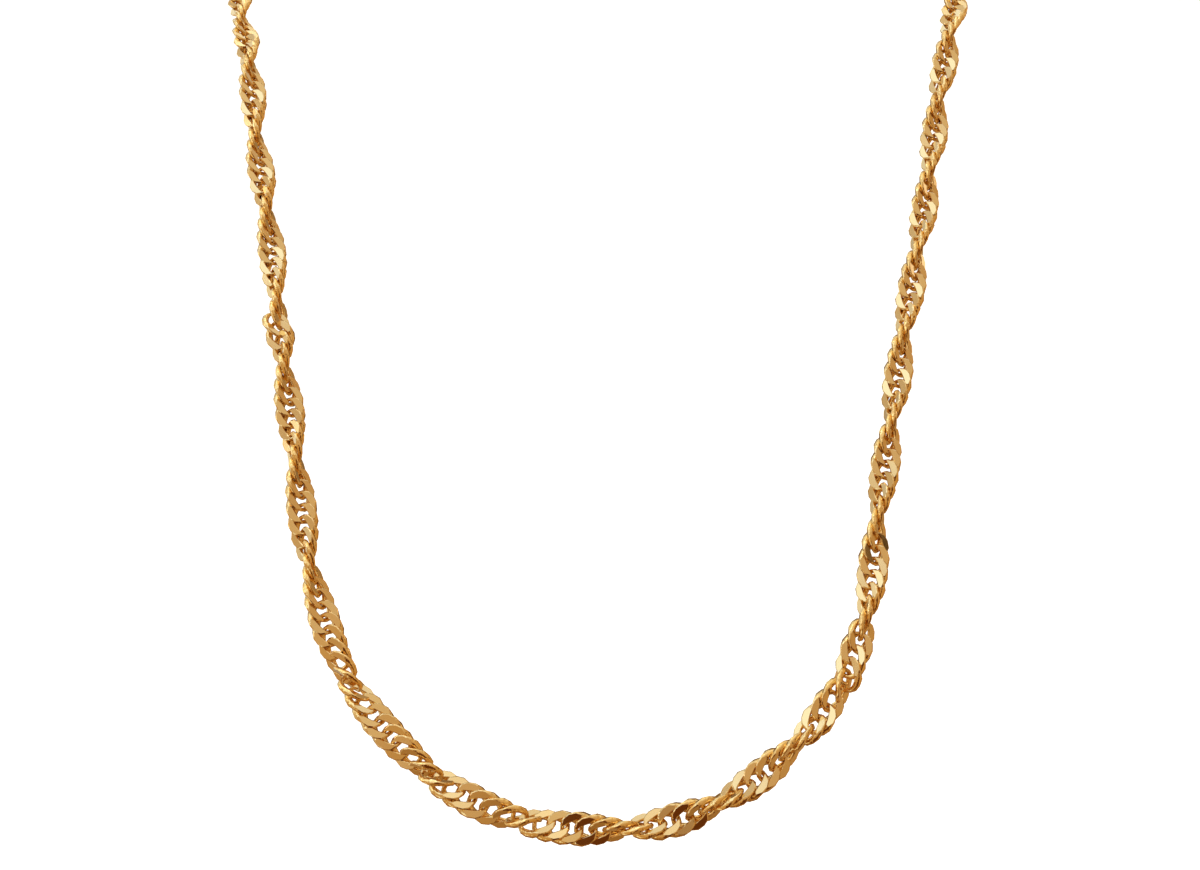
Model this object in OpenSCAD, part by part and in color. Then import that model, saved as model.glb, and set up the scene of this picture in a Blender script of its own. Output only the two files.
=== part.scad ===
/* [Chain] */
// Width of the twisted chain across its flat faces
chain_w = 3.2; // [2.6:0.1:3.6]
// Thickness of the chain from face to face
chain_t = 1.6; // [1.2:0.1:1.8]
// Part of the width that is flat on each face
face_share = 0.52; // [0.40:0.02:0.70]
// Part of the thickness that is left at the two edges
edge_share = 0.46; // [0.30:0.02:0.60]
// Steps in which each half turn of the twist is drawn
turn_steps = 6; // [5:1:8]

/* [Fall on the chest] */
// Lean of the front stretch away from upright
lean = 19; // [14:0.5:24]
// Height up the front stretch at which it leaves the chest
hinge_up = 85.5; // [82:0.5:90]

/* [Clasp] */
// Radius of the clasp ring to the middle of its wire
ring_r = 3.1; // [2.8:0.1:3.3]
// Wire thickness of the clasp ring
ring_wire = 1.3; // [1.1:0.1:1.4]
// Radius of each end eye to the middle of its wire
eye_r = 1.0; // [0.9:0.05:1.05]
// Wire thickness of each end eye
eye_wire = 0.8; // [0.7:0.05:0.85]

/* [Hidden] */
$fn = 48;

// Where the front stretch leaves the chest, behind and below the neck's centre
hinge_y = -27.5;
hinge_z = -29;

// The nape, where the clasp lies
nape_y = 44;
nape_z = 23;

// How far each eye sinks into the clasp ring, and the distance from the clasp's middle to the eye's middle
eye_sink = 0.25;
eye_x = ring_r + ring_wire / 2 + eye_r - eye_sink;

// Front stretch, laid out flat on the chest. Each row is one edge-on waist of the twist:
// across, up the chest, half turns since the row before
ACROSS = 0;
UP = 1;
HALF_TURNS = 2;
front = [
    [-40.5, 85.5, 2],
    [-38.75, 75.5, 1],
    [-36.5, 65.5, 1],
    [-34.25, 54.25, 1],
    [-32.75, 46.5, 1],
    [-30.5, 35.75, 1],
    [-28, 24.5, 1],
    [-23.25, 13.5, 1],
    [-14.75, 4.75, 1],
    [-6.25, 0.75, 1],
    [4, 0, 1],
    [12.5, 2.25, 1],
    [20.5, 8, 1],
    [25, 13.75, 1],
    [27.75, 20, 1],
    [30, 31, 1],
    [32.25, 41.25, 1],
    [34.5, 51.5, 1],
    [37, 61.75, 1],
    [39.25, 71.75, 1],
    [41.25, 81.5, 1],
    [43.5, 90.5, 1]
];

// Round the left side of the neck, from the clasp: x, y, z, half turns since the row before
left_side = [
    [-6.2, nape_y, nape_z, 0],
    [-16.5, 42.5, 22.5, 1],
    [-34, 32.5, 18.5, 2],
    [-45.5, 16.5, 11.5, 2],
    [-49.5, -1.5, 1, 2],
    [-45.75, -16, -14, 2]
];

// Round the right side of the neck, to the clasp: x, y, z, half turns since the row before
right_side = [
    [48.75, -13.5, -9, 2],
    [49.5, 2, 4, 2],
    [45, 18.5, 13, 2],
    [34, 32.5, 18.5, 2],
    [16.5, 42.5, 22.5, 2],
    [6.2, nape_y, nape_z, 1]
];

// A row of the front stretch in space
function on_chest(row) = [
    row[ACROSS],
    hinge_y + (row[UP] - hinge_up) * sin(lean),
    hinge_z + (row[UP] - hinge_up) * cos(lean)
];

route = concat(
    [for (row = left_side) [row.x, row.y, row.z]],
    [for (row = front) on_chest(row)],
    [for (row = right_side) [row.x, row.y, row.z]]
);
turns = concat(
    [for (row = left_side) row[3]],
    [for (row = front) row[HALF_TURNS]],
    [for (row = right_side) row[3]]
);
last = len(route) - 1;

// The row at the bottom of the U, counted from the start of the front stretch and of the route
bottom_row = 10;
middle_row = len(left_side) + bottom_row;

function unit(v) = v / norm(v);
function chord(i) = norm(route[i + 1] - route[i]);

// Direction of the chain at each row
function heading(i) =
    i == 0 ? unit(route[1] - route[0]) :
    i == last ? unit(route[last] - route[last - 1]) :
    unit(route[i + 1] - route[i - 1]);

// Smooth curve between row i and row i + 1, at t from 0 to 1
function between(i, t) =
    let (
        span = chord(i),
        a = (2 * t - 3) * t * t + 1,
        b = ((t - 2) * t + 1) * t,
        c = (3 - 2 * t) * t * t,
        d = (t - 1) * t * t
    )
    a * route[i] + b * span * heading(i) + c * route[i + 1] + d * span * heading(i + 1);

// Number of rings from row i to row i + 1
function steps(i) = turn_steps * turns[i + 1];

// Half turns of the twist from the start of the chain to row i
function turned(i) = i == 0 ? 0 : turned(i - 1) + turns[i];

// Each station holds the middle of a ring and its share of the twist
stations = concat(
    [
        for (i = [0 : last - 1])
        for (j = [0 : steps(i) - 1])
        [between(i, j / steps(i)), 180 * (turned(i) + turns[i + 1] * j / steps(i))]
    ],
    [[route[last], 180 * turned(last)]]
);
count = len(stations);
middle = turn_steps * turned(middle_row);

function spot(k) = stations[k][0];
function along(k) =
    k <= 0 ? unit(spot(1) - spot(0)) :
    k >= count - 1 ? unit(spot(count - 1) - spot(count - 2)) :
    unit(spot(k + 1) - spot(k - 1));

// A direction carried along the chain without turning about it
function carry(v, k) = unit(v - (v * along(k)) * along(k));
chest_out = [0, -cos(lean), sin(lean)];
to_right = [for (k = middle, v = carry(chest_out, middle); k < count; k = k + 1, v = carry(v, k)) v];
to_left = [for (k = middle, v = carry(chest_out, middle); k >= 0; k = k - 1, v = carry(v, k)) v];
function level(k) = k >= middle ? to_right[k - middle] : to_left[middle - k];

// Flattened eight-sided section of the chain
half_w = chain_w / 2;
half_t = chain_t / 2;
face = half_w * face_share;
edge = half_t * edge_share;
section = [
    [half_w, -edge], [half_w, edge], [face, half_t], [-face, half_t],
    [-half_w, edge], [-half_w, -edge], [-face, -half_t], [face, -half_t]
];
sides = len(section);

// One ring of the twisted section
function ring(k) =
    let (
        t = along(k),
        n = level(k),
        b = cross(t, n),
        turn = stations[k][1] - stations[middle][1],
        wide = n * cos(turn) + b * sin(turn),
        thick = cross(t, wide)
    )
    [for (p = section) spot(k) + p.x * wide + p.y * thick];

module chain() {
    points = [for (k = [0 : count - 1]) each ring(k)];
    walls = [
        for (k = [0 : count - 2])
        for (j = [0 : sides - 1])
        let (
            a = k * sides + j,
            b = k * sides + (j + 1) % sides,
            c = b + sides,
            d = a + sides
        )
        each [[a, d, b], [b, d, c]]
    ];
    start = [for (j = [0 : sides - 1]) j];
    end = [for (j = [sides - 1 : -1 : 0]) (count - 1) * sides + j];
    color("goldenrod")
    polyhedron(points = points, faces = concat([start], walls, [end]), convexity = 20);
}

// A round wire bent into a ring that stands upright, facing the nape
module wire_ring(r, wire) {
    rotate([90, 0, 0])
    rotate_extrude()
    translate([r, 0])
    circle(d = wire);
}

module clasp() {
    color("gold")
    translate([0, nape_y, nape_z])
    union() {
        wire_ring(ring_r, ring_wire);
        for (side = [-1, 1])
            translate([side * eye_x, 0, 0])
            wire_ring(eye_r, eye_wire);
    }
}

chain();
clasp();
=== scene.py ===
"""A twisted chain necklace: flat-cut gold links in a turning ribbon round a neck, closed by a ring clasp."""

import math

import bmesh
import bpy
import numpy as np
from bpy.props import FloatProperty, FloatVectorProperty, IntProperty, PointerProperty
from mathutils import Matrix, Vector


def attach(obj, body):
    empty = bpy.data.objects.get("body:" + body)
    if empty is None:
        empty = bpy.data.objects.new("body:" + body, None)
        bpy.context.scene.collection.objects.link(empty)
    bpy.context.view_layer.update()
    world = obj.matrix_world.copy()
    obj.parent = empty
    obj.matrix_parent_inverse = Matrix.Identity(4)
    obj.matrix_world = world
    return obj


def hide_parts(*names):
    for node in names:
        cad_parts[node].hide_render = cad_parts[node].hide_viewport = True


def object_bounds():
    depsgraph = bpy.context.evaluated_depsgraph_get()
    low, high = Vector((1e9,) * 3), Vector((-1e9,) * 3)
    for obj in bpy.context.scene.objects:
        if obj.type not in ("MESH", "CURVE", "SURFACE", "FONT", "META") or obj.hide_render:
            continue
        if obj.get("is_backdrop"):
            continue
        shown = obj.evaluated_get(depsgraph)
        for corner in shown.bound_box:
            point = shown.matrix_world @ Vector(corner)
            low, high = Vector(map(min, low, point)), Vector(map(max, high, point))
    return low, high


bl_info = {
    "name": "Twisted chain necklace",
    "version": (1, 0, 0),
    "blender": (4, 5, 0),
    "location": "3D View > Sidebar > Necklace",
    "description": "Dresses the twisted chain and its clasp, and lights them",
    "category": "Object",
}

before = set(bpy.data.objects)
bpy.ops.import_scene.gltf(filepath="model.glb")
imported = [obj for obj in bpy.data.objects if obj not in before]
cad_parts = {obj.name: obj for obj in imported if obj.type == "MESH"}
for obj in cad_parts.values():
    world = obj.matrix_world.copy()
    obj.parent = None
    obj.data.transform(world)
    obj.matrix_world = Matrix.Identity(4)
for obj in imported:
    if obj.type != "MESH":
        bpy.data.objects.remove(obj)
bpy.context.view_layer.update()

MM = 0.001

# The route of the chain, as in the part's source. Its front stretch lies flat on a leaning chest
LEAN = math.radians(19)
HINGE_UP = 85.5 * MM
HINGE_Y = -27.5 * MM
HINGE_Z = -29 * MM
NAPE_Y = 44 * MM
NAPE_Z = 23 * MM
CHEST_OUT = Vector((0, -math.cos(LEAN), math.sin(LEAN)))

# Each row is one edge-on waist of the twist: across, up the chest, half turns since the row before
FRONT = (
    (-0.0405, 0.0855, 2),
    (-0.03875, 0.0755, 1),
    (-0.0365, 0.0655, 1),
    (-0.03425, 0.05425, 1),
    (-0.03275, 0.0465, 1),
    (-0.0305, 0.03575, 1),
    (-0.028, 0.0245, 1),
    (-0.02325, 0.0135, 1),
    (-0.01475, 0.00475, 1),
    (-0.00625, 0.00075, 1),
    (0.004, 0.0, 1),
    (0.0125, 0.00225, 1),
    (0.0205, 0.008, 1),
    (0.025, 0.01375, 1),
    (0.02775, 0.02, 1),
    (0.03, 0.031, 1),
    (0.03225, 0.04125, 1),
    (0.0345, 0.0515, 1),
    (0.037, 0.06175, 1),
    (0.03925, 0.07175, 1),
    (0.04125, 0.0815, 1),
    (0.0435, 0.0905, 1),
)

# Round each side of the neck: x, y, z, half turns since the row before
LEFT_SIDE = (
    (-0.0062, NAPE_Y, NAPE_Z, 0),
    (-0.0165, 0.0425, 0.0225, 1),
    (-0.0340, 0.0325, 0.0185, 2),
    (-0.0455, 0.0165, 0.0115, 2),
    (-0.0495, -0.0015, 0.0010, 2),
    (-0.04575, -0.0160, -0.0140, 2),
)
RIGHT_SIDE = (
    (0.04875, -0.0135, -0.0090, 2),
    (0.0495, 0.0020, 0.0040, 2),
    (0.0450, 0.0185, 0.0130, 2),
    (0.0340, 0.0325, 0.0185, 2),
    (0.0165, 0.0425, 0.0225, 2),
    (0.0062, NAPE_Y, NAPE_Z, 1),
)

# The row at the bottom of the U, counted from the start of the front stretch and of the route
BOTTOM_ROW = 10
MIDDLE_ROW = len(LEFT_SIDE) + BOTTOM_ROW

# Places where the links have shuffled out of line: the row of the route, how far the place reaches in
# rows, how far its links lean across the chain, how far they are pushed sideways, and how far the
# twist runs behind before the place and ahead after it. The first and last rows lie just past the two
# ends, where they turn the end link level, so that it passes through the upright eye of the clasp
KNOCKS = (
    (-1.41, 2.0, 0.0, 0.0, math.radians(-70)),
    (9.36, 0.13, math.radians(26), 0.35 * MM, 0.0),
    (9.40, 0.25, 0.0, 0.0, math.radians(14)),
    (13.00, 0.22, math.radians(20), 0.0, math.radians(15)),
    (14.00, 0.22, math.radians(20), 0.0, math.radians(15)),
    (15.00, 0.22, math.radians(20), 0.0, math.radians(18)),
    (19.02, 0.16, math.radians(20), 0.38 * MM, math.radians(20)),
    (34.41, 2.0, 0.0, 0.0, math.radians(72)),
)

# Route stations for each half turn
STATIONS_A_TURN = 24


class Sock:
    """A shader socket that can be used in plain arithmetic."""

    def __init__(self, tree, socket):
        self.tree = tree
        self.socket = socket

    def maths(self, operation, *values):
        return self.tree.add("ShaderNodeMath", {"operation": operation}, dict(enumerate(values)))

    def __add__(self, other):
        return self.maths("ADD", self, other)

    def __radd__(self, other):
        return self.maths("ADD", other, self)

    def __sub__(self, other):
        return self.maths("SUBTRACT", self, other)

    def __rsub__(self, other):
        return self.maths("SUBTRACT", other, self)

    def __mul__(self, other):
        return self.maths("MULTIPLY", self, other)

    def __rmul__(self, other):
        return self.maths("MULTIPLY", other, self)

    def held(self):
        """The value held between 0 and 1."""
        return self.maths("MINIMUM", self.maths("MAXIMUM", self, 0.0), 1.0)


class Tree:
    """A node tree, and the one way in which its nodes are added."""

    def __init__(self, tree):
        self.tree = tree
        tree.nodes.clear()

    def add(self, kind, settings=None, inputs=None, out=0):
        """Adds a node. Its settings come first, then the values or links of its sockets."""
        node = self.tree.nodes.new(kind)
        for name, value in (settings or {}).items():
            if name == "stops":
                self.set_stops(node, value)
            else:
                setattr(node, name, value)
        for name, value in (inputs or {}).items():
            if isinstance(value, Sock):
                self.tree.links.new(value.socket, node.inputs[name])
            else:
                node.inputs[name].default_value = value
        return Sock(self, node.outputs[out]) if len(node.outputs) else node

    def set_stops(self, node, stops):
        """Gives a colour ramp its stops, each a place and a colour."""
        ramp = node.color_ramp
        while len(ramp.elements) < len(stops):
            ramp.elements.new(1.0)
        for element, (place, colour) in zip(ramp.elements, stops):
            element.position = place
            element.color = (*colour, 1.0)


class ChainSettings(bpy.types.PropertyGroup):
    """Sizes of the links, and how they lie along the chain"""

    pitch: FloatProperty(
        name="Pitch",
        description="Distance from one link to the next along the chain",
        default=1.318 * MM,
        unit="LENGTH",
        precision=5,
    )
    reach: FloatProperty(
        name="Half length",
        description="Half the length of a link, to the middle of its wire",
        default=1.595 * MM,
        unit="LENGTH",
        precision=5,
    )
    half_width: FloatProperty(
        name="Half width",
        description="Half the width of a link, to the middle of its wire",
        default=1.19 * MM,
        unit="LENGTH",
        precision=5,
    )
    side: FloatProperty(
        name="Wire side",
        description="Half the width of the wire along the sides of a link",
        default=0.41 * MM,
        unit="LENGTH",
        precision=5,
    )
    flat: FloatProperty(
        name="Wire top",
        description="Half the width of the top of the wire along the sides of a link",
        default=0.2 * MM,
        unit="LENGTH",
        precision=5,
    )
    depth: FloatProperty(
        name="Wire depth",
        description="Half the thickness of the wire along the sides of a link",
        default=0.44 * MM,
        unit="LENGTH",
        precision=5,
    )
    end_side: FloatProperty(
        name="Wire side at the ends",
        description="Half the width of the wire where it bends through the next links",
        default=0.21 * MM,
        unit="LENGTH",
        precision=5,
    )
    end_flat: FloatProperty(
        name="Wire top at the ends",
        description="Half the width of the top of the wire at the ends of a link",
        default=0.08 * MM,
        unit="LENGTH",
        precision=5,
    )
    end_depth: FloatProperty(
        name="Wire depth at the ends",
        description="Half the thickness of the wire at the ends of a link",
        default=0.23 * MM,
        unit="LENGTH",
        precision=5,
    )
    cut: FloatProperty(
        name="Cut height",
        description="Height above the middle at which both faces of a link are cut flat",
        default=0.32 * MM,
        unit="LENGTH",
        precision=5,
    )
    rim: FloatProperty(
        name="Rim",
        description="Width of the slope round each flat",
        default=0.08 * MM,
        unit="LENGTH",
        precision=5,
    )
    rim_drop: FloatProperty(
        name="Rim drop",
        description="How far the slope round each flat falls",
        default=0.06 * MM,
        unit="LENGTH",
        precision=5,
    )
    side_power: FloatProperty(
        name="Side power",
        description="Power of the curve across a link: 2 is an ellipse, more is squarer",
        default=2.2,
    )
    bend: FloatProperty(
        name="Bend",
        description="Turn of each end of a link out of its plane, which lets the next links through",
        default=math.radians(24.3),
        subtype="ANGLE",
    )
    bend_power: FloatProperty(
        name="Bend power",
        description="How the bend grows towards the ends: less bends the sides more",
        default=0.49,
    )
    roll_scatter: FloatProperty(
        name="Roll scatter",
        description="Largest chance turn of a link about the chain",
        default=math.radians(4.0),
        subtype="ANGLE",
    )
    lean_scatter: FloatProperty(
        name="Lean scatter",
        description="Largest chance lean of a link out of line",
        default=math.radians(1.5),
        subtype="ANGLE",
    )
    seed: IntProperty(name="Seed", description="Seed of the chance turns and leans", default=7)


class FinishSettings(bpy.types.PropertyGroup):
    """Colours and polish of the gold"""

    gold: FloatVectorProperty(
        name="Gold",
        description="Colour of the gold plate",
        subtype="COLOR",
        size=3,
        default=(0.885, 0.675, 0.35),
        min=0.0,
        max=1.0,
    )
    # Warm gold: on the clasp a random warmer tone; on the chain also painted shade, a warmer, more orange
    # gold mixed in deep between the flats, as where the links reflect each other
    warm_tone_and_shade_gold: FloatVectorProperty(
        name="Warm gold",
        description="Colour of the gold where it lies deep between the links",
        subtype="COLOR",
        size=3,
        default=(0.97, 0.66, 0.24),
        min=0.0,
        max=1.0,
    )
    cut_roughness: FloatProperty(
        name="Roughness of the cut faces",
        description="Lower is more like a mirror",
        default=0.11,
        min=0.0,
        max=1.0,
    )
    wire_roughness: FloatProperty(
        name="Roughness of the wire",
        description="Lower is more like a mirror",
        default=0.10,
        min=0.0,
        max=1.0,
    )


class StageSettings(bpy.types.PropertyGroup):
    """The floor and the camera"""

    floor_drop: FloatProperty(
        name="Floor below the necklace",
        description="How far the floor lies below the lowest link",
        default=0.16,
        unit="LENGTH",
    )
    floor_colour: FloatVectorProperty(
        name="Floor",
        description="Colour of the floor",
        subtype="COLOR",
        size=3,
        default=(0.95, 0.95, 0.95),
        min=0.0,
        max=1.0,
    )
    camera_place: FloatVectorProperty(
        name="Camera",
        description="Where the camera stands",
        subtype="TRANSLATION",
        size=3,
        default=(0.0012, -0.1587, -0.0729),
    )
    lens: FloatProperty(name="Lens", description="Focal length on a 36 mm wide frame, in mm", default=33.0)


def hermite(a, b, heading_a, heading_b, t):
    """A point at t, from 0 to 1, on the smooth curve from a to b."""
    span = (b - a).length
    return (
        ((2 * t - 3) * t * t + 1) * a
        + ((t - 2) * t + 1) * t * span * heading_a
        + (3 - 2 * t) * t * t * b
        + (t - 1) * t * t * span * heading_b
    )


def on_chest(across, up):
    """A point of the front stretch in space."""
    rise = up - HINGE_UP
    return Vector((across, HINGE_Y + rise * math.sin(LEAN), HINGE_Z + rise * math.cos(LEAN)))


def chain_route():
    """Stations along the chain: their points, the direction level with the chest, the roll and the lean."""
    rows = [Vector(row[:3]) for row in LEFT_SIDE]
    rows += [on_chest(across, up) for across, up, _ in FRONT]
    rows += [Vector(row[:3]) for row in RIGHT_SIDE]
    turns = [row[-1] for row in (*LEFT_SIDE, *FRONT, *RIGHT_SIDE)]
    last = len(rows) - 1
    headings = [(rows[min(i + 1, last)] - rows[max(i - 1, 0)]).normalized() for i in range(last + 1)]
    points = []
    rolls = []
    leans = []
    turned = 0
    for i in range(last):
        steps = STATIONS_A_TURN * turns[i + 1]
        stations = steps + 1 if i == last - 1 else steps
        across = headings[i].cross(CHEST_OUT)
        if i == MIDDLE_ROW:
            middle = len(points)
        for j in range(stations):
            lean, push, ahead = knocked(i + j / steps)
            point = hermite(rows[i], rows[i + 1], headings[i], headings[i + 1], j / steps)
            points.append(point + push * across)
            rolls.append(math.pi * (turned + turns[i + 1] * j / steps) + ahead)
            leans.append(lean)
        turned += turns[i + 1]
    rolls = [roll - rolls[middle] for roll in rolls]
    return points, level_directions(points, middle), rolls, leans


def knocked(row):
    """The lean, the sideways push and the lead of the twist at a place of the route.

    The lead is nothing at the middle of a knock, and the root of 2e makes its largest value the one given.
    """
    lean = push = ahead = 0.0
    for place, spread, most_lean, most_push, most_ahead in KNOCKS:
        past = (row - place) / spread
        share = math.exp(-past * past)
        lean += share * most_lean
        push += share * most_push
        ahead += share * past * math.sqrt(2 * math.e) * most_ahead
    return lean, push, ahead


def level_directions(points, middle):
    """CHEST_OUT carried both ways along the chain from its middle, without turning about it."""
    last = len(points) - 1
    levels = [None] * (last + 1)
    for way in (1, -1):
        level = CHEST_OUT.copy()
        k = middle
        while 0 <= k <= last:
            along = (points[min(k + 1, last)] - points[max(k - 1, 0)]).normalized()
            level = (level - level.dot(along) * along).normalized()
            levels[k] = level.copy()
            k += way
    return levels


# A link has this many stations round it, and six corners to its wire. Its wire is thin only near the ends
LINK_STATIONS = 16
WIRE_CORNERS = 6
END_POWER = 6

# A small turn round the link to each side of a station gives the wire's direction there
TURN_STEP = 0.001

# Corners nearer than this to a cut lie on it
ON_CUT = 0.01 * MM


def powered(value, power):
    """A sine or cosine raised to a power, with its sign kept."""
    return math.copysign(abs(value) ** power, value)


def wire_loop(sizes):
    """The bent wire of one link before it is cut. It lies along X, its width along Y."""

    def middle(t):
        bend = -sizes.bend * powered(math.cos(t), sizes.bend_power)
        out = sizes.half_width * powered(math.sin(t), 2 / sizes.side_power)
        return Vector((sizes.reach * math.cos(t), out * math.cos(bend), out * math.sin(bend)))

    mesh = bmesh.new()
    rings = []
    for i in range(LINK_STATIONS):
        t = math.tau * (i + 0.5) / LINK_STATIONS
        along = (middle(t + TURN_STEP) - middle(t - TURN_STEP)).normalized()
        outward = Vector((along.y, -along.x, 0)).normalized()
        if outward.dot(middle(t)) < 0:
            outward.negate()
        upward = along.cross(outward)
        end = abs(math.cos(t)) ** END_POWER
        side = outward * (sizes.side + (sizes.end_side - sizes.side) * end)
        flat = outward * (sizes.flat + (sizes.end_flat - sizes.flat) * end)
        rise = upward * (sizes.depth + (sizes.end_depth - sizes.depth) * end)
        corners = (side, flat + rise, rise - flat, -side, -flat - rise, flat - rise)
        rings.append([mesh.verts.new(middle(t) + corner) for corner in corners])
    for i, ring in enumerate(rings):
        after = rings[(i + 1) % LINK_STATIONS]
        for j in range(WIRE_CORNERS):
            k = (j + 1) % WIRE_CORNERS
            mesh.faces.new((ring[j], after[j], after[k], ring[k]))
    return mesh


def link_mesh(sizes):
    """One link, with both its faces cut flat.

    The attribute "cut" is 1 on the flats, and "deep" grows from 0 at the flats to 1 half way between them.
    """
    mesh = wire_loop(sizes)
    cut_layer = mesh.faces.layers.float.new("cut")
    deep_layer = mesh.faces.layers.float.new("deep")
    for side in (1, -1):
        bmesh.ops.bisect_plane(
            mesh,
            geom=[*mesh.verts, *mesh.edges, *mesh.faces],
            plane_co=(0, 0, side * sizes.cut),
            plane_no=(0, 0, side),
            clear_outer=True,
            dist=ON_CUT,
        )
        bmesh.ops.holes_fill(mesh, edges=[edge for edge in mesh.edges if edge.is_boundary], sides=0)
    bmesh.ops.recalc_face_normals(mesh, faces=mesh.faces)
    flats = [
        face
        for face in mesh.faces
        if all(abs(abs(vertex.co.z) - sizes.cut) < ON_CUT for vertex in face.verts)
    ]
    rims = bmesh.ops.inset_individual(mesh, faces=flats, thickness=sizes.rim, use_even_offset=True)["faces"]
    kept = {vertex for face in flats for vertex in face.verts}
    for vertex in {vertex for face in rims for vertex in face.verts} - kept:
        vertex.co.z -= math.copysign(sizes.rim_drop, vertex.co.z)
    for face in mesh.faces:
        face.smooth = True
        face[cut_layer] = float(face in flats)
        # The deep value is the mask of the painted shade: the chain's gold turns warmer and more orange by
        # it between the flats
        face[deep_layer] = 1 - min(abs(face.calc_center_median().z) / sizes.cut, 1)
    for edge in mesh.edges:
        edge.smooth = len({face[cut_layer] for face in edge.link_faces}) == 1
    data = bpy.data.meshes.new("link")
    mesh.to_mesh(data)
    mesh.free()
    return data


def route_mesh():
    """The route as a line of edges that carries the level direction, the roll and the lean."""
    points, levels, rolls, leans = chain_route()
    data = bpy.data.meshes.new("chain_route")
    data.from_pydata(points, [(k, k + 1) for k in range(len(points) - 1)], [])
    level = data.attributes.new("level", "FLOAT_VECTOR", "POINT")
    level.data.foreach_set("vector", np.array(levels, dtype=np.float32).ravel())
    for name, values in (("roll", rolls), ("lean", leans)):
        turn = data.attributes.new(name, "FLOAT", "POINT")
        turn.data.foreach_set("value", np.array(values, dtype=np.float32))
    length = sum((b - a).length for a, b in zip(points, points[1:]))
    return data, length


class NodeMaker:
    """Adds nodes to a Geometry Nodes tree."""

    def __init__(self, name, sizes):
        self.tree = bpy.data.node_groups.new(name, "GeometryNodeTree")
        face = self.tree.interface
        face.new_socket("Geometry", in_out="INPUT", socket_type="NodeSocketGeometry")
        for label, kind in sizes:
            face.new_socket(label, in_out="INPUT", socket_type=kind)
        face.new_socket("Geometry", in_out="OUTPUT", socket_type="NodeSocketGeometry")
        self.given = self.tree.nodes.new("NodeGroupInput").outputs

    def add(self, kind, settings=None, inputs=None):
        """Adds a node with its settings, then the values or links of its sockets."""
        node = self.tree.nodes.new(kind)
        for name, value in (settings or {}).items():
            setattr(node, name, value)
        for name, value in (inputs or {}).items():
            if isinstance(value, bpy.types.NodeSocket):
                self.tree.links.new(value, node.inputs[name])
            else:
                node.inputs[name].default_value = value
        return node.outputs

    def finish(self, geometry):
        """Ends the tree with what it gives out."""
        self.add("NodeGroupOutput", inputs={"Geometry": geometry})

    def attach(self, owner, values):
        """Puts the tree on an object, with its inputs set by identifier."""
        modifier = owner.modifiers.new(self.tree.name, "NODES")
        modifier.node_group = self.tree
        for item in self.tree.interface.items_tree:
            if item.in_out == "INPUT" and item.name in values:
                modifier[item.identifier] = values[item.name]


def links_along_route():
    """The tree that sets a link at each step of the route, turned by the roll that the route carries."""
    maker = NodeMaker(
        "links_along_route",
        (
            ("Link", "NodeSocketObject"),
            ("Links", "NodeSocketInt"),
            ("Roll Scatter", "NodeSocketFloat"),
            ("Lean Scatter", "NodeSocketFloat"),
            ("Seed", "NodeSocketInt"),
            ("Finish", "NodeSocketMaterial"),
        ),
    )
    given = maker.given
    curve = maker.add("GeometryNodeMeshToCurve", inputs={"Mesh": given["Geometry"]})[0]
    steps = maker.add(
        "GeometryNodeResampleCurve", {"mode": "COUNT"}, {"Curve": curve, "Count": given["Links"]}
    )[0]
    level = maker.add("GeometryNodeInputNamedAttribute", {"data_type": "FLOAT_VECTOR"}, {"Name": "level"})
    roll = maker.add("GeometryNodeInputNamedAttribute", {"data_type": "FLOAT"}, {"Name": "roll"})
    lean = maker.add("GeometryNodeInputNamedAttribute", {"data_type": "FLOAT"}, {"Name": "lean"})
    along = maker.add("GeometryNodeInputTangent")[0]
    flat = maker.add(
        "FunctionNodeAxesToRotation",
        {"primary_axis": "X", "secondary_axis": "Y"},
        {"Primary Axis": along, "Secondary Axis": level["Attribute"]},
    )[0]
    most = maker.add(
        "ShaderNodeCombineXYZ",
        inputs={"X": given["Roll Scatter"], "Y": given["Lean Scatter"], "Z": given["Lean Scatter"]},
    )[0]
    least = maker.add("ShaderNodeVectorMath", {"operation": "SCALE"}, {"Vector": most, "Scale": -1.0})[0]
    chance = maker.add(
        "FunctionNodeRandomValue",
        {"data_type": "FLOAT_VECTOR"},
        {"Min": least, "Max": most, "Seed": given["Seed"]},
    )[0]
    turn = maker.add("ShaderNodeCombineXYZ", inputs={"X": roll["Attribute"], "Y": lean["Attribute"]})[0]
    turn = maker.add("ShaderNodeVectorMath", {"operation": "ADD"}, {0: turn, 1: chance})[0]
    turn = maker.add("FunctionNodeEulerToRotation", inputs={"Euler": turn})[0]
    turned = maker.add(
        "FunctionNodeRotateRotation", {"rotation_space": "LOCAL"}, {"Rotation": flat, "Rotate By": turn}
    )[0]
    link = maker.add("GeometryNodeObjectInfo", inputs={"Object": given["Link"]})["Geometry"]
    links = maker.add(
        "GeometryNodeInstanceOnPoints", inputs={"Points": steps, "Instance": link, "Rotation": turned}
    )[0]
    tone = maker.add("FunctionNodeRandomValue", {"data_type": "FLOAT"}, {"Seed": given["Seed"]})
    tone = next(socket for socket in tone if socket.type == "VALUE" and socket.enabled)
    links = maker.add(
        "GeometryNodeStoreNamedAttribute",
        {"data_type": "FLOAT", "domain": "INSTANCE"},
        {"Geometry": links, "Name": "tone", "Value": tone},
    )[0]
    whole = maker.add("GeometryNodeRealizeInstances", inputs={"Geometry": links})[0]
    whole = maker.add("GeometryNodeSetMaterial", inputs={"Geometry": whole, "Material": given["Finish"]})[0]
    maker.finish(whole)
    return maker


def settled(owner, name):
    """The object's evaluated shape as a plain mesh object, in place of the object."""
    graph = bpy.context.evaluated_depsgraph_get()
    data = bpy.data.meshes.new_from_object(owner.evaluated_get(graph), depsgraph=graph)
    data.name = name
    owner.modifiers.clear()
    bpy.data.objects.remove(owner)
    return show(name, data)


def show(name, data):
    """A new object in the scene."""
    piece = bpy.data.objects.new(name, data)
    bpy.context.scene.collection.objects.link(piece)
    return piece


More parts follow.
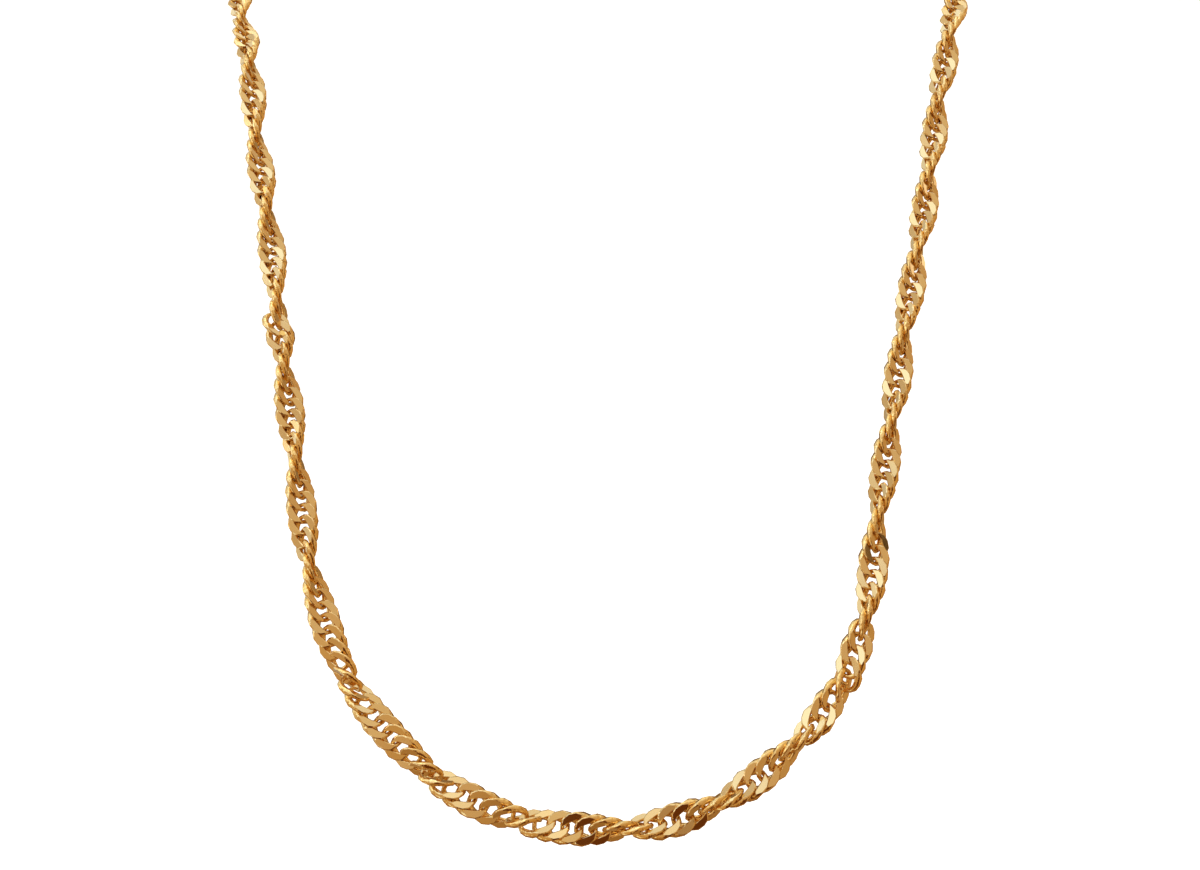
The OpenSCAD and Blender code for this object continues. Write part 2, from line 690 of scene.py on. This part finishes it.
# Noise scales, in waves a metre: slow changes of tone, dents in the wire between the flats, and fine grain
CHAIN_CLOUDS = 900.0
CHAIN_DENTS = 3200.0
CHAIN_GRAIN = 9000.0
CLASP_CLOUDS = 700.0
CLASP_GRAIN = 8000.0

# How far the dents and the grain reach in
DENT_DEPTH = 0.07 * MM
CLASP_GRAIN_DEPTH = 0.02 * MM


def chain_gold(finish):
    """Gold plate: mirror-like on the cut faces, softer on the wire between them."""
    material = bpy.data.materials.new("chain_gold")
    material.use_nodes = True
    tree = Tree(material.node_tree)
    place = tree.add("ShaderNodeTexCoord", out="Object")
    cut = tree.add("ShaderNodeAttribute", {"attribute_name": "cut"}, out="Fac")
    deep = tree.add("ShaderNodeAttribute", {"attribute_name": "deep"}, out="Fac")
    tone = tree.add("ShaderNodeAttribute", {"attribute_name": "tone"}, out="Fac")
    cloud = tree.add("ShaderNodeTexNoise", inputs={"Vector": place, "Scale": CHAIN_CLOUDS, "Detail": 3.0})
    grain = tree.add("ShaderNodeTexNoise", inputs={"Vector": place, "Scale": CHAIN_GRAIN, "Detail": 2.0})
    # Painted shade: towards the middle of the wire, by deep, the colour moves to the warmer gold, as shade
    # and reflection between the links; tone and cloud add random changes of tone
    shade = (0.8 - 0.8 * deep + 0.2 * tone + 0.3 * (cloud - 0.5)).held()
    colour = tree.add(
        "ShaderNodeMix",
        {"data_type": "RGBA"},
        {"Factor": shade, "A": (*finish.warm_tone_and_shade_gold, 1.0), "B": (*finish.gold, 1.0)},
        out="Result",
    )
    gap = finish.wire_roughness - finish.cut_roughness
    rough = finish.wire_roughness - gap * cut + 0.05 * tone + 0.08 * (cloud - 0.5)
    dents = tree.add("ShaderNodeTexNoise", inputs={"Vector": place, "Scale": CHAIN_DENTS, "Detail": 1.0})
    bump = tree.add(
        "ShaderNodeBump",
        inputs={"Strength": 0.8, "Distance": DENT_DEPTH, "Height": dents * (1.0 - cut) + 0.01 * grain},
    )
    shader = tree.add(
        "ShaderNodeBsdfPrincipled",
        inputs={"Base Color": colour, "Roughness": rough, "Metallic": 1.0, "Normal": bump},
    )
    tree.add("ShaderNodeOutputMaterial", inputs={"Surface": shader})
    return material


def clasp_gold(finish):
    """Gold plate, polished all over."""
    material = bpy.data.materials.new("clasp_gold")
    material.use_nodes = True
    tree = Tree(material.node_tree)
    place = tree.add("ShaderNodeTexCoord", out="Object")
    cloud = tree.add("ShaderNodeTexNoise", inputs={"Vector": place, "Scale": CLASP_CLOUDS, "Detail": 3.0})
    grain = tree.add("ShaderNodeTexNoise", inputs={"Vector": place, "Scale": CLASP_GRAIN, "Detail": 2.0})
    colour = tree.add(
        "ShaderNodeMix",
        {"data_type": "RGBA"},
        {"Factor": (0.7 + (cloud - 0.5)).held(), "A": (*finish.warm_tone_and_shade_gold, 1.0), "B": (*finish.gold, 1.0)},
        out="Result",
    )
    rough = finish.cut_roughness + 0.1 * cloud
    bump = tree.add(
        "ShaderNodeBump", inputs={"Strength": 0.1, "Distance": CLASP_GRAIN_DEPTH, "Height": grain}
    )
    shader = tree.add(
        "ShaderNodeBsdfPrincipled",
        inputs={"Base Color": colour, "Roughness": rough, "Metallic": 1.0, "Normal": bump},
    )
    tree.add("ShaderNodeOutputMaterial", inputs={"Surface": shader})
    return material


class NECKLACE_OT_chain(bpy.types.Operator):
    """Sets interlocked links along the route of the chain"""

    bl_idname = "necklace.chain"
    bl_label = "Chain"

    def execute(self, context):
        sizes = context.scene.necklace_chain
        link = show("link", link_mesh(sizes))
        data, length = route_mesh()
        route = show("chain_route", data)
        links_along_route().attach(
            route,
            {
                "Link": link,
                "Links": round(length / sizes.pitch) + 1,
                "Roll Scatter": sizes.roll_scatter,
                "Lean Scatter": sizes.lean_scatter,
                "Seed": sizes.seed,
                "Finish": chain_gold(context.scene.necklace_finish),
            },
        )
        chain = settled(route, "twisted_chain")
        bpy.data.objects.remove(link)
        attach(chain, "root")
        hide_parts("chain")
        return {"FINISHED"}


class NECKLACE_OT_clasp(bpy.types.Operator):
    """Finishes the clasp at the nape"""

    bl_idname = "necklace.clasp"
    bl_label = "Clasp"

    def execute(self, context):
        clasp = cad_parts["clasp"]
        gold = clasp_gold(context.scene.necklace_finish)
        for slot in clasp.material_slots:
            slot.material = gold
        return {"FINISHED"}


# What the gold reflects, by height from straight down to straight up
HEIGHT_TONES = (
    (0.0, (0.34, 0.18, 0.06)),
    (0.10, (0.40, 0.22, 0.08)),
    (0.24, (0.56, 0.34, 0.15)),
    (0.45, (0.57, 0.355, 0.155)),
    (0.60, (0.63, 0.425, 0.225)),
    (0.75, (0.66, 0.475, 0.29)),
    (0.90, (0.76, 0.62, 0.44)),
    (1.0, (1.10, 1.08, 1.02)),
)

# Colours of the brightest patches, and of the dark ones at and below the camera
LAMP = (1.16, 1.30, 1.46)
DEEP_BROWN = (0.13, 0.038, 0.007)

# Patches in the surroundings: turn to the right of the camera and height in degrees, the cosines
# of the angles at which the patch begins and is full, and its colour
PATCHES = (
    (-112, 28, 0.45, 0.85, (0.59, 0.47, 0.33)),
    (-135, 5, 0.72, 0.90, (0.95, 0.95, 0.92)),
    (-38, 46, 0.965, 0.988, LAMP),
    (-75, 55, 0.94, 0.98, LAMP),
    (-160, 40, 0.90, 0.97, (1.12, 1.24, 1.36)),
    (130, 48, 0.95, 0.98, LAMP),
    (-60, -32, 0.96, 0.985, (1.12, 1.18, 1.16)),
    (-67, 33, 0.986, 0.995, LAMP),
    (-73, 17, 0.988, 0.996, LAMP),
    (-118, 47, 0.986, 0.995, LAMP),
    (105, 8, 0.50, 0.90, (0.54, 0.32, 0.13)),
    (2, -4, 0.90, 0.97, DEEP_BROWN),
    (8, -24, 0.90, 0.97, (0.09, 0.024, 0.005)),
    (12, -42, 0.88, 0.97, DEEP_BROWN),
    (70, 13, 0.984, 0.993, (0.02, 0.008, 0.004)),
    (180, 0, 0.55, 0.92, (0.25, 0.16, 0.08)),
)


def world_light():
    """A soft studio: bright on the left and above, brown on the right and below, dark before and behind."""
    world = bpy.data.worlds.new("studio")
    bpy.context.scene.world = world
    world.use_nodes = True
    tree = Tree(world.node_tree)
    way = tree.add("ShaderNodeTexCoord", out="Generated")
    height = tree.add("ShaderNodeSeparateXYZ", inputs={"Vector": way}, out="Z")
    light = tree.add("ShaderNodeValToRGB", {"stops": HEIGHT_TONES}, {"Fac": height * 0.5 + 0.5})
    for turn, rise, begins, full, colour in PATCHES:
        turn, rise = math.radians(turn), math.radians(rise)
        middle = (math.sin(turn) * math.cos(rise), -math.cos(turn) * math.cos(rise), math.sin(rise))
        near = tree.add(
            "ShaderNodeVectorMath", {"operation": "DOT_PRODUCT"}, {0: way, 1: middle}, out="Value"
        )
        slope = 1 / (full - begins)
        light = tree.add(
            "ShaderNodeMix",
            {"data_type": "RGBA"},
            {"Factor": ((near - begins) * slope).held(), "A": light, "B": (*colour, 1.0)},
            out="Result",
        )
    seen = tree.add("ShaderNodeLightPath", out="Is Camera Ray")
    colour = tree.add(
        "ShaderNodeMix",
        {"data_type": "RGBA"},
        {"Factor": seen, "A": light, "B": (1.0, 1.0, 1.0, 1.0)},
        out="Result",
    )
    shader = tree.add("ShaderNodeBackground", inputs={"Color": colour, "Strength": 1.0})
    tree.add("ShaderNodeOutputWorld", inputs={"Surface": shader})


# Soft lights round the necklace: name, place, width, height and power. They face its middle
LIGHTS = (
    ("top_box", (-0.15, -0.1, 0.5), 0.20, 0.15, 0.12),
    ("left_box", (-0.6, -0.1, 0.1), 0.15, 0.3, 0.18),
    ("right_box", (0.6, 0.1, 0.15), 0.08, 0.3, 0.08),
)
LIT_MIDDLE = (0, -0.04, -0.06)

# How far the floor reaches from the neck, the radius of its bend and the height of its back
FLOOR_REACH = 3.0
FLOOR_BEND = 1.0
FLOOR_TOP = 3.0
FLOOR_STEPS = 12

# Width of the camera's frame in mm, and how near and far it sees
FRAME_WIDTH = 36.0
NEAREST = 0.005
FARTHEST = 20.0


def soft_box(name, place, width, height, power):
    """An area light that faces the middle of the necklace."""
    light = bpy.data.lights.new(name, "AREA")
    light.shape = "RECTANGLE"
    light.size = width
    light.size_y = height
    light.energy = power
    lamp = show(name, light)
    lamp.location = place
    lamp.rotation_euler = (Vector(LIT_MIDDLE) - Vector(place)).to_track_quat("-Z", "Y").to_euler()


def floor_sweep(stage):
    """A pale floor that rises in a curve far behind the necklace."""
    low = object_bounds()[0][2] - stage.floor_drop
    bend_y = FLOOR_REACH - FLOOR_BEND
    outline = [(-FLOOR_REACH, low), (bend_y, low)]
    for i in range(1, FLOOR_STEPS + 1):
        angle = math.radians(90 * i / FLOOR_STEPS)
        outline.append((bend_y + FLOOR_BEND * math.sin(angle), low + FLOOR_BEND * (1 - math.cos(angle))))
    outline.append((FLOOR_REACH, low + FLOOR_TOP))
    points = [(x, y, z) for y, z in outline for x in (-FLOOR_REACH, FLOOR_REACH)]
    faces = [(2 * i, 2 * i + 1, 2 * i + 3, 2 * i + 2) for i in range(len(outline) - 1)]
    data = bpy.data.meshes.new("floor")
    data.from_pydata(points, [], faces)
    data.shade_smooth()
    floor = show("floor", data)
    material = bpy.data.materials.new("pale_floor")
    material.use_nodes = True
    tree = Tree(material.node_tree)
    shader = tree.add(
        "ShaderNodeBsdfPrincipled",
        inputs={
            "Base Color": (*stage.floor_colour, 1.0),
            "Roughness": 0.9,
            "Emission Color": (1.0, 1.0, 1.0, 1.0),
            "Emission Strength": 0.5,
        },
    )
    tree.add("ShaderNodeOutputMaterial", inputs={"Surface": shader})
    data.materials.append(material)
    floor.visible_glossy = False
    floor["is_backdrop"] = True


class NECKLACE_OT_stage(bpy.types.Operator):
    """Lays the floor, lights the necklace and sets up the camera"""

    bl_idname = "necklace.stage"
    bl_label = "Stage"

    def execute(self, context):
        stage = context.scene.necklace_stage
        floor_sweep(stage)
        world_light()
        for light in LIGHTS:
            soft_box(*light)
        data = bpy.data.cameras.new("camera")
        data.sensor_width = FRAME_WIDTH
        data.lens = stage.lens
        data.clip_start = NEAREST
        data.clip_end = FARTHEST
        camera = show("camera", data)
        camera.location = stage.camera_place
        camera.rotation_euler = (math.radians(90), 0, 0)
        context.scene.camera = camera
        context.scene.view_settings.view_transform = "Standard"
        return {"FINISHED"}


class NECKLACE_PT_panel(bpy.types.Panel):
    """Sizes, colours and operators of the necklace"""

    bl_idname = "NECKLACE_PT_panel"
    bl_label = "Twisted chain necklace"
    bl_space_type = "VIEW_3D"
    bl_region_type = "UI"
    bl_category = "Necklace"

    def draw(self, context):
        layout = self.layout
        for operator in OPERATORS:
            layout.operator(operator.bl_idname)
        for name in SETTINGS:
            group = getattr(context.scene, name)
            box = layout.box()
            for field in type(group).__annotations__:
                box.prop(group, field)


OPERATORS = (NECKLACE_OT_chain, NECKLACE_OT_clasp, NECKLACE_OT_stage)
SETTINGS = {
    "necklace_chain": ChainSettings,
    "necklace_finish": FinishSettings,
    "necklace_stage": StageSettings,
}


def register():
    for group in (*SETTINGS.values(), *OPERATORS, NECKLACE_PT_panel):
        bpy.utils.register_class(group)
    for name, group in SETTINGS.items():
        setattr(bpy.types.Scene, name, PointerProperty(type=group))


def unregister():
    for name in SETTINGS:
        delattr(bpy.types.Scene, name)
    for group in reversed((*SETTINGS.values(), *OPERATORS, NECKLACE_PT_panel)):
        bpy.utils.unregister_class(group)


def main():
    register()
    bpy.ops.necklace.chain()
    bpy.ops.necklace.clasp()
    bpy.ops.necklace.stage()


if __name__ == "__main__":
    main()
